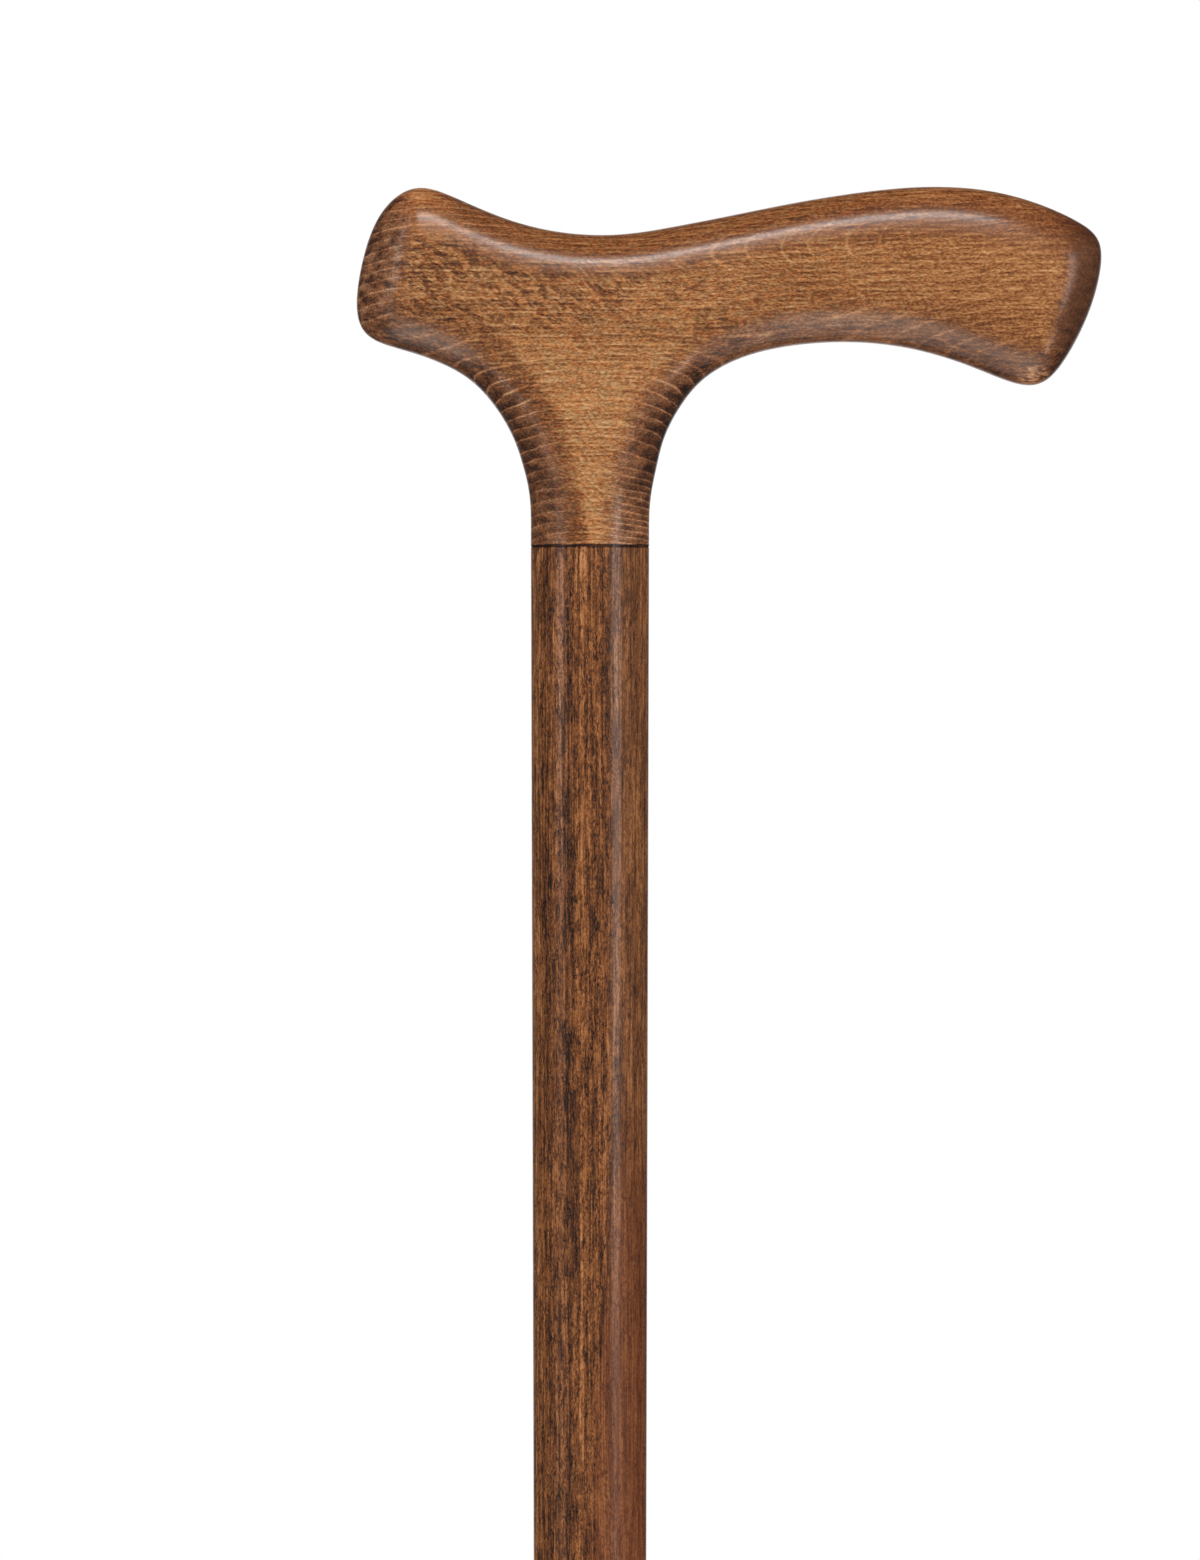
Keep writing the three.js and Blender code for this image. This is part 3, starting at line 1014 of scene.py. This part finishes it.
@dataclass
class Handle(Modelled):
    """The grip with its long and short arms and the round neck that sits on the shaft.

    A cage is extruded section by section from the short arm's end to the long arm's end, the neck is
    extruded from its underside, and a subdivision surface rounds it all. The outline is in millimetres.
    """

    joint_z: float
    neck_radius: float
    half_thickness: float
    bore_radius: float = 4.3 * MM
    bore_depth: float = 38 * MM
    edge: float = 0.14 * MM
    glue_line: float = 0.17 * MM
    flat_share: float = 0.38
    corner_share: float = 0.77
    end_crease: float = 0.55
    crease_share: float = 0.6
    subdivisions: int = 4
    short_end: tuple[Point, Point] = ((-40.95, 43.3), (-38.9, 53.4))
    long_end: tuple[Point, Point] = ((86.2, 38.2), (88.8, 45.6))
    stations: tuple[Station, ...] = (
        Station((-35.4, 59.7), (-39.6, 37.4), 0.62),
        Station((-29.9, 63.0), (-35.2, 34.9)),
        Station((-22.8, 60.7), (-29.3, 33.1)),
        Station((-14.5, 57.3), (-21.8, 29.6)),
        Station((-5.0, 55.0), (-8.0, 29.8)),
        Station((5.0, 54.6), (7.0, 29.8)),
        Station((14.5, 56.0), (20.4, 29.5)),
        Station((25.0, 58.0), (27.6, 33.2)),
        Station((36.0, 60.2), (36.8, 35.1)),
        Station((47.5, 62.0), (46.8, 35.5)),
        Station((59.0, 63.0), (56.6, 34.3)),
        Station((70.0, 62.3), (65.5, 31.7)),
        Station((79.0, 59.8), (72.3, 29.0)),
        Station((85.7, 56.6), (77.5, 28.0)),
        Station((89.4, 52.9), (81.7, 30.6), 0.74),
    )
    junction: tuple[int, int] = (3, 6)
    neck: tuple[NeckStation, ...] = (
        NeckStation(24.4, -16.8, 16.0, 12.0, 8.3, 2.9),
        NeckStation(18.4, -13.3, 12.9, 11.6, 8.1, 2.9),
        NeckStation(11.4, -11.3, 11.45, 11.1, 7.9, 2.85),
        NeckStation(4.0, -10.5, 10.55, 10.6, 7.7, 2.8),
        NeckStation(-4.0, -10.47, 10.47, 10.47, 7.66, 2.81),
        NeckStation(-11.0, -10.47, 10.47, 10.47, 7.66, 2.81),
    )
    flare_corner: Point = (2.0, 2.7)
    root_height: float = 6.0
    neck_step: float = 5.0
    round_above: float = 1.0
    square_above: float = 15.0

    def cage_outline(self) -> tuple[list[Station], list[NeckStation], list[tuple[Point, Point]]]:
        """Pushes the outline's points out to where the cage must be for the smooth surface to meet them.

        A cubic surface falls short of its cage by a sixth of the outline's bend at each point.

        Returns:
            The grip's sections, the neck's levels and each arm's two end points, moved out.
        """
        first, last = self.junction
        tops = [station.top for station in self.stations]
        bottoms = [station.bottom for station in self.stations]
        loop = [(level.right, level.z) for level in reversed(self.neck)] + bottoms[last:]
        loop += [*self.long_end, *tops[::-1], *self.short_end[::-1]]
        loop += bottoms[:first + 1] + [(level.left, level.z) for level in self.neck]
        pushed = {loop[0]: loop[0], loop[-1]: loop[-1]}
        for before, point, after in zip(loop, loop[1:], loop[2:]):
            pushed[point] = tuple(p - (b - 2 * p + a) / 6 for b, p, a in zip(before, point, after))
        for point in bottoms:
            pushed.setdefault(point, point)
        sections = [Station(pushed[s.top], pushed[s.bottom], s.width) for s in self.stations]
        levels = []
        for level in self.neck:
            left, right = pushed[(level.left, level.z)], pushed[(level.right, level.z)]
            levels.append(replace(level, z=(left[1] + right[1]) / 2, left=left[0], right=right[0]))
        ends = [(pushed[low], pushed[high]) for low, high in (self.short_end, self.long_end)]
        return sections, levels, ends

    def at(self, point: Vector) -> Vector:
        """Returns a point given in millimetres from the joint's centre as a place in the frame."""
        return point * MM + Vector((0, 0, self.joint_z))

    def start_section(self, first: Station) -> None:
        """Lays the first section: a grid of three by three faces with its corners drawn in.

        Args:
            first: The section at the short arm's end.
        """
        rows, inside = 3, 0.5  # the grid's inner vertices lie closer to its middle lines than this
        bpy.ops.mesh.primitive_grid_add(
            x_subdivisions=rows, y_subdivisions=rows, size=2, rotation=(0, math.radians(90), 0)
        )
        self.obj = take_primitive("handle_grip")
        flat, corner, centre = rows * self.flat_share, self.corner_share, Vector()
        with self.editing():
            self.select(Element.VERTEX, lambda p, n: abs(p.y) < inside)
            stretch((1, flat, 1), centre)
            self.select(Element.VERTEX, lambda p, n: abs(p.z) < inside)
            stretch((1, 1, flat), centre)
            self.select(Element.VERTEX, lambda p, n: min(abs(p.y), abs(p.z)) > inside)
            stretch((1, corner, corner), centre)
            bpy.ops.mesh.select_all(action="SELECT")
            stretch((1, self.half_thickness * first.width, first.height * MM / 2), centre)
            turn_about_y(first.tilt, centre)
            bpy.ops.transform.translate(value=tuple(self.at(first.centre)))

    def carry(self, before: Station, after: Station) -> None:
        """Extrudes the selected end face and moves, turns and scales it from one section to the next.

        Args:
            before: The section where it is.
            after: The section where it goes.
        """
        extrude_by(Vector())
        centre = self.at(before.centre)
        turn_about_y(-before.tilt, centre)
        stretch((1, after.width / before.width, after.height / before.height), centre)
        turn_about_y(after.tilt, centre)
        bpy.ops.transform.translate(value=tuple((after.centre - before.centre) * MM))

    def place_end(self, section: Station, points: tuple[Point, Point]) -> None:
        """Moves the inner vertices of an arm's end face out to the outline's end points.

        Args:
            section: The arm's last section.
            points: Where the end face's lower and upper rows go.
        """
        side = self.flat_share * section.width * self.half_thickness / MM
        with self.editing():
            for share, (x, z) in zip((-self.flat_share, self.flat_share), points):
                self.move_pair(self.at(section.point(share, side)), self.at(Vector((x, side, z))))

    def crease_end(self, section: Station) -> None:
        """Creases the upright edges of both faces where the short arm's end is cut to a bevel.

        Args:
            section: The section there.
        """
        side = self.crease_share * self.half_thickness
        across = Vector((math.cos(section.tilt), 0, -math.sin(section.tilt)))
        middle = self.at(section.centre)
        with self.editing():
            self.select(
                Element.VERTEX, lambda p, n: abs(p.y) > side and abs((p - middle).dot(across)) < HAIR
            )
            bpy.ops.transform.edge_crease(value=self.end_crease)

    def junction_ring(self, sections: list[Station]) -> list[Vector]:
        """Opens the underside of the middle sections out to where the neck's faces start.

        Args:
            sections: The grip's sections.

        Returns:
            The cage's eight points on the +Y half of the neck's root, ordered as in NeckStation.ring.
        """
        first, last = self.junction
        middle = sections[first:last + 1]
        thickness = self.half_thickness / MM
        inner_row = [s.point(-1, self.flat_share * thickness) for s in middle]
        corners = [s.point(-self.corner_share, self.corner_share * thickness) for s in middle]
        outer_row = [Vector(corner) for corner in corners]
        across, up = self.flare_corner
        outer_row[0] = Vector((inner_row[0].x + across, corners[0].y, inner_row[0].z + up))
        outer_row[3] = Vector((inner_row[3].x - across, corners[3].y, inner_row[3].z + up))
        outer_row[1].y = outer_row[2].y = thickness
        with self.editing():
            for start, goal in zip(corners, outer_row):
                self.move_pair(self.at(start), self.at(goal))
        return inner_row + outer_row

    def grow_neck(self, sections: list[Station], levels: list[NeckStation]) -> None:
        """Extrudes the neck down from the underside between the junction's sections.

        Args:
            sections: The grip's sections.
            levels: The neck's levels, from the top down.
        """
        ring = self.junction_ring(sections)
        left, right = (sections[i].bottom[0] * MM for i in self.junction)
        floor = self.joint_z + (min(point.z for point in ring) + self.root_height) * MM
        step = Vector((0, 0, -self.neck_step))
        with self.editing():
            for level in levels:
                self.select(Element.FACE, lambda c, n: n.z < -LEANING and left < c.x < right and c.z < floor)
                extrude_by(step * MM)
                for start, goal in zip(ring, level.ring()):
                    self.move_pair(self.at(start + step), self.at(goal))
                ring = level.ring()
                floor = self.joint_z + level.z * MM + HAIR

    def round_foot(self) -> None:
        """Draws the neck's lower part onto the shaft's own circle."""
        group = self.obj.vertex_groups.new(name="foot")
        for vertex in self.obj.data.vertices:
            height = (vertex.co.z - self.joint_z) / MM
            share = (self.square_above - height) / (self.square_above - self.round_above)
            share = min(max(share, 0), 1)
            group.add([vertex.index], share * share * (3 - 2 * share), "REPLACE")
        self.modify(
            "CAST", cast_type="CYLINDER", factor=1.0, use_z=False, size=self.neck_radius,
            use_radius_as_size=False, vertex_group="foot",
        )
        self.obj.vertex_groups.clear()

    def saw_foot(self) -> None:
        """Saws the neck off level at the joint, breaks the edge and sinks the stud's bore."""
        level = self.joint_z - self.glue_line
        with self.editing():
            bpy.ops.mesh.select_all(action="SELECT")
            bpy.ops.mesh.bisect(plane_co=(0, 0, level), plane_no=(0, 0, 1), use_fill=True, clear_inner=True)
            self.select(Element.FACE, lambda c, n: downward(c, n) and c.z < level + SAME_LEVEL)
            bevel(self.edge, segments=2)
            self.select(Element.FACE, lambda c, n: downward(c, n) and c.z < level + SAME_LEVEL)
            bpy.ops.mesh.inset(thickness=self.neck_radius - self.edge - self.bore_radius, depth=0)
            extrude_by(Vector((0, 0, self.glue_line + self.bore_depth)))

    def build(self) -> Solid:
        """Models and dresses the handle.

        Returns:
            The finished handle.
        """
        sections, levels, ends = self.cage_outline()
        self.start_section(sections[0])
        with self.editing():
            bpy.ops.mesh.select_all(action="SELECT")
            for before, after in zip(sections, sections[1:]):
                self.carry(before, after)
            bpy.ops.mesh.select_all(action="SELECT")
            bpy.ops.mesh.normals_make_consistent(inside=False)
        self.grow_neck(sections, levels)
        self.place_end(sections[0], ends[0])
        self.place_end(sections[-1], ends[1])
        self.crease_end(sections[1])
        self.modify("SUBSURF", levels=self.subdivisions, render_levels=self.subdivisions)
        self.round_foot()
        self.saw_foot()
        self.complete(HandleBeech(self.joint_z).material())
        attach(self.obj, "stick")
        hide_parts("handle")
        return self.obj


@dataclass
class Shaft(Modelled):
    """The tapered round shaft, with its edges broken and the stud's bore in its top."""

    bottom: float
    top: float
    tip_radius: float
    top_radius: float
    bore_radius: float = 4.3 * MM
    bore_depth: float = 46 * MM
    drill_above: float = 5 * MM
    top_edge: float = 0.14 * MM
    tip_edge: float = 0.8 * MM
    sides: int = 128
    lengths: int = 24

    def taper(self) -> list[Point]:
        """Lays out the taper.

        Returns:
            Each ring's radius and height, from the tip's edge up.
        """
        base, wider = self.bottom + self.tip_edge, self.top_radius - self.tip_radius
        shares = [(i + 1) / self.lengths for i in range(self.lengths)]
        return [(self.tip_radius + wider * share, base + (self.top - base) * share) for share in shares]

    def build(self) -> Solid:
        """Models and dresses the shaft.

        Returns:
            The finished shaft.
        """
        start = self.bottom + self.tip_edge
        self.obj = add_rod("shaft_stick", self.tip_radius, self.bottom, start, self.sides)
        with self.editing():
            self.select(Element.FACE, downward)
            slim = 1 - self.tip_edge / self.tip_radius / 2
            stretch((slim, slim, 1), Vector((0, 0, self.bottom)))
            self.select(Element.FACE, upward)
            carry_up((self.tip_radius, start), self.taper())
            bevel(self.top_edge, segments=2)
        floor, above = self.top - self.bore_depth, self.top + self.drill_above
        drill = add_rod("drill_bit", self.bore_radius, floor, above)
        self.modify("BOOLEAN", operation="DIFFERENCE", object=drill, solver="EXACT")
        bpy.data.objects.remove(drill)
        self.complete(ShaftBeech(self.top).material())
        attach(self.obj, "stick")
        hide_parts("shaft")
        return self.obj


@dataclass
class Ferrule(Modelled):
    """The rubber tip: a grooved sole, a bell that narrows to a ribbed collar, and the bore for the shaft."""

    sole_radius: float
    height: float
    bore_tip: float
    bore_mouth: float
    sole_thickness: float = 9 * MM
    sole_edge: float = 1.2 * MM
    slab_height: float = 1.8 * MM
    band_height: float = 7 * MM
    band_draft: float = 0.8 * MM
    bell_rings: int = 14
    collar_wall: float = 3.2 * MM
    collar_length: float = 19 * MM
    mouth_edge: float = 0.6 * MM
    mouth_corner: float = 0.18 * MM
    ribs: int = 3
    rib_height: float = 0.9 * MM
    rib_width: float = 2 * MM
    rib_spacing: float = 4.5 * MM
    rib_offset: float = 0.75
    groove_radii: tuple[float, ...] = (12.6 * MM, 8 * MM)
    groove_width: float = 1.8 * MM
    groove_depth: float = 1.6 * MM
    mould_edge: float = 0.25 * MM
    mould_angle: float = math.radians(50)
    sides: int = 96

    def outside(self) -> list[Point]:
        """Lays out the outside above the sole's edge.

        Returns:
            Its rings from the band up to the mouth, as radius and height.
        """
        collar = self.bore_mouth + self.collar_wall
        band = self.sole_radius - self.band_draft
        flare_top = self.height - self.collar_length
        points = []
        for i in range(self.bell_rings + 1):
            angle = math.radians(90 - 90 * i / self.bell_rings)
            low = (flare_top - self.band_height) * math.sin(angle)
            points.append((band - (band - collar) * math.cos(angle), flare_top - low))
        for i in reversed(range(self.ribs)):
            middle = self.height - self.rib_spacing * (i + self.rib_offset)
            for angle in map(math.radians, range(-90, 91, 30)):
                level = middle + self.rib_width / 2 * math.sin(angle)
                points.append((collar + self.rib_height * math.cos(angle), level))
        points.append((collar, self.height - self.mouth_edge))
        points.append((collar - self.mouth_corner, self.height - self.mouth_corner))
        points.append((collar - self.mouth_edge, self.height))
        return points

    def cut_grooves(self) -> None:
        """Insets the sole ring by ring and presses the grooves into it."""
        half = self.groove_width / 2
        near = 0.8 * half
        with self.editing():
            self.select(Element.FACE, lambda c, n: downward(c, n) and c.z < SAME_LEVEL)
            radius = self.sole_radius - self.sole_edge
            for middle in self.groove_radii:
                for ring in (middle + half, middle - half):
                    bpy.ops.mesh.inset(thickness=radius - ring, depth=0)
                    radius = ring
            for middle in self.groove_radii:
                self.select(
                    Element.FACE, lambda c, n: c.z < SAME_LEVEL and abs(c.xy.length - middle) < near
                )
                extrude_by(Vector((0, 0, self.groove_depth)))

    def build(self) -> Solid:
        """Models and dresses the ferrule.

        Returns:
            The finished ferrule.
        """
        self.obj = add_rod("ferrule_rubber", self.sole_radius, 0, self.slab_height, self.sides)
        outside = self.outside()
        with self.editing():
            self.select(Element.FACE, downward)
            bevel(self.sole_edge, segments=4)
            self.select(Element.FACE, upward)
            carry_up((self.sole_radius, self.slab_height), outside)
            bpy.ops.mesh.inset(thickness=outside[-1][0] - self.bore_mouth, depth=0)
            carry_up((self.bore_mouth, self.height), [(self.bore_tip, self.sole_thickness)])
        self.cut_grooves()
        self.modify(
            "BEVEL", width=self.mould_edge, segments=2, limit_method="ANGLE", angle_limit=self.mould_angle
        )
        self.complete(MouldedRubber().material())
        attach(self.obj, "tip")
        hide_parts("ferrule")
        return self.obj


@dataclass
class HiddenSteel:
    """The threaded stud inside the joint and the washer inside the ferrule, kept as built."""

    nodes: tuple[str, ...] = ("joint_stud", "ferrule_washer")

    def build(self) -> list[Solid]:
        """Dresses the two pieces.

        Returns:
            The pieces.
        """
        pieces = [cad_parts[name] for name in self.nodes]
        for piece in pieces:
            dress(piece, PlatedSteel(piece.name + "_steel").material())
        return pieces


# Studio


@dataclass(frozen=True)
class Softbox:
    """A rectangular lamp that faces the handle's neck from one direction.

    Attributes:
        name: The lamp's name.
        azimuth: How far it stands round from the camera, in degrees, positive to the right.
        elevation: Its angle over the horizon, in degrees.
        width: Its angular width as the cane sees it, in degrees.
        height: Its angular height, in degrees.
        radiance: How bright its face is, where 1 is white.
        distance: How far away it stands, in metres.
        shift: How far it is moved along X, in metres.
        tint: Its light's colour.
    """

    name: str
    azimuth: float
    elevation: float
    width: float
    height: float
    radiance: float
    distance: float
    shift: float = 0.0
    tint: Colour = (1.0, 1.0, 1.0)

    def hang(self, aim: Vector) -> None:
        """Hangs the lamp so that it faces a point.

        Args:
            aim: The point.
        """
        turn, rise = math.radians(self.azimuth), math.radians(self.elevation)
        away = Vector((math.sin(turn) * math.cos(rise), -math.cos(turn) * math.cos(rise), math.sin(rise)))
        data = bpy.data.lights.new(self.name, "AREA")
        data.shape = "RECTANGLE"
        data.size = 2 * self.distance * math.tan(math.radians(self.width / 2))
        data.size_y = 2 * self.distance * math.tan(math.radians(self.height / 2))
        data.color = self.tint
        data.energy = self.radiance * math.pi * data.size * data.size_y
        data.cycles.use_multiple_importance_sampling = False
        lamp = bpy.data.objects.new(self.name, data)
        lamp.location = aim + away * self.distance + Vector((self.shift, 0, 0))
        lamp.rotation_euler = away.to_track_quat("Z", "Y").to_euler()
        bpy.context.scene.collection.objects.link(lamp)


@dataclass(frozen=True)
class Studio:
    """Pale floor, white surroundings, soft lamps and the camera."""

    image_width: int = 1200
    mm_per_pixel: float = 0.175
    axis_pixel: Point = (590.0, 546.0)
    image_middle: Point = (600.0, 780.0)
    distance: float = 2.6
    sensor_width: float = 36.0
    aim_x: float = 0.01
    floor_radius: float = 0.9
    floor_sides: int = 96
    floor_glow: float = 0.2
    floor_rough: float = 0.9
    floor_mottle: float = 0.02
    floor_tones: tuple[Colour, Colour] = ((0.8, 0.8, 0.79), (0.84, 0.84, 0.83))
    fade_from: float = 0.6
    ambient: float = 0.66
    mirrored_front: float = 0.16
    mirrored_behind: float = 0.04
    room_reach: Point = (-0.4, 0.5)
    backdrop_reach: Point = (0.95, 0.985)
    lamps: tuple[Softbox, ...] = (
        Softbox("left_strip", -61, 22.5, 10, 54, 1.8, 0.9),
        Softbox("right_strip", 53, 12, 14, 46, 2.4, 0.9),
        Softbox("left_low", -61, -32, 10, 34, 1.7, 0.9, tint=(1.0, 0.8, 0.67)),
        Softbox("right_low", 53, -38, 13, 24, 3.3, 0.9, tint=(1.0, 0.8, 0.67)),
        Softbox("overhead_strip", 0, 62, 33, 10, 10.5, 0.57),
        Softbox("overhead_fill", 0, 47, 33, 18, 1.35, 0.8),
        Softbox("low_bank", 0, -78, 48, 44, 1.2, 1.2, -0.22, (1.0, 0.95, 0.84)),
    )

    def lay_floor(self) -> None:
        """Lays a round pale floor, like a frosted table: the low lamp shines up through it.

        Its rim fades into the white room, and from below it is clear.
        """
        bpy.ops.mesh.primitive_circle_add(
            vertices=self.floor_sides, radius=self.floor_radius, fill_type="NGON"
        )
        floor = take_primitive("floor")
        floor.visible_shadow = False
        sheet = Sheet(bpy.data.materials.new("floor_paper"))
        place = sheet.add("TexCoord", output="Object")
        mottle = place.noise((self.floor_mottle,) * 3, detail=3)
        paper = sheet.add("BsdfPrincipled", {
            "Base Color": mottle.blend(*self.floor_tones), "Roughness": self.floor_rough,
            "Emission Color": (1, 1, 1),
            "Emission Strength": sheet.add("LightPath", output="Is Camera Ray") * self.floor_glow,
        })
        distance = sheet.add("VectorMath", {0: place}, output="Value", operation="LENGTH")
        fade = distance.band(self.fade_from * self.floor_radius, self.floor_radius)
        gone = fade.maths("MAXIMUM", sheet.add("NewGeometry", output="Backfacing"))
        clear = sheet.add("BsdfTransparent")
        dress(floor, sheet.finish(sheet.add("MixShader", {0: gone, 1: paper, 2: clear})))

    def hang_world(self) -> None:
        """Makes the surroundings a soft light all round and a white background behind the object.

        The camera sees them white. Gloss and glass see that white background too, with a dim room round it.
        """
        world = bpy.data.worlds.new("studio")
        bpy.context.scene.world = world
        sheet = Sheet(world)
        backwards = sheet.add("TexCoord", output="Generated").split()[1]
        room = backwards.band(*self.room_reach).between(self.mirrored_front, self.mirrored_behind)
        seen = backwards.band(*self.backdrop_reach).between(room, 1.0)
        glass = sheet.add("LightPath", output="Is Transmission Ray")
        through = sheet.add("LightPath", output="Is Glossy Ray").maths("MAXIMUM", glass)
        other = through.between(self.ambient, seen)
        strength = sheet.add("LightPath", output="Is Camera Ray").between(other, 1.0)
        sheet.finish(sheet.add("Background", {"Color": (1.0, 1.0, 1.0), "Strength": strength}))

    def place_camera(self, joint_z: float) -> None:
        """Aims a long lens at the handle from straight in front.

        Args:
            joint_z: The height of the joint.
        """
        data = bpy.data.cameras.new("camera")
        camera = bpy.data.objects.new("camera", data)
        bpy.context.scene.collection.objects.link(camera)
        scale = self.mm_per_pixel * MM
        x = (self.image_middle[0] - self.axis_pixel[0]) * scale
        z = joint_z - (self.image_middle[1] - self.axis_pixel[1]) * scale
        camera.location = (x, -self.distance, z)
        camera.rotation_euler = (math.radians(90), 0, 0)
        data.sensor_fit = "HORIZONTAL"
        data.sensor_width = self.sensor_width
        data.lens = data.sensor_width * self.distance / (self.image_width * scale)
        bpy.context.scene.camera = camera

    def build(self, joint_z: float) -> None:
        """Sets up the whole studio.

        Args:
            joint_z: The height of the joint.
        """
        self.lay_floor()
        self.hang_world()
        for lamp in self.lamps:
            lamp.hang(Vector((self.aim_x, 0, joint_z)))
        self.place_camera(joint_z)
        bpy.context.scene.view_settings.view_transform = "Standard"


def main() -> None:
    """Builds the cane and its studio."""
    logging.basicConfig(level=logging.INFO)
    handle_low, handle_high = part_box("handle")
    shaft_low, shaft_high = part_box("shaft")
    ferrule_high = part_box("ferrule")[1]
    neck_radius, tip_radius = shaft_high.x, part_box("ferrule_washer")[1].x
    mouth_radius = tip_radius + (neck_radius - tip_radius) * (ferrule_high.z - shaft_low.z) / shaft_high.z
    pieces = [
        Handle(handle_low.z, neck_radius, handle_high.y).build(),
        Shaft(shaft_low.z, shaft_high.z, tip_radius, neck_radius).build(),
        *HiddenSteel().build(),
        Ferrule(ferrule_high.x, ferrule_high.z, tip_radius + FIT, mouth_radius + FIT).build(),
    ]
    for piece in pieces:
        log.info("%s: %d faces", piece.name, len(piece.data.polygons))
    Studio().build(handle_low.z)


if __name__ == "__main__":
    main()
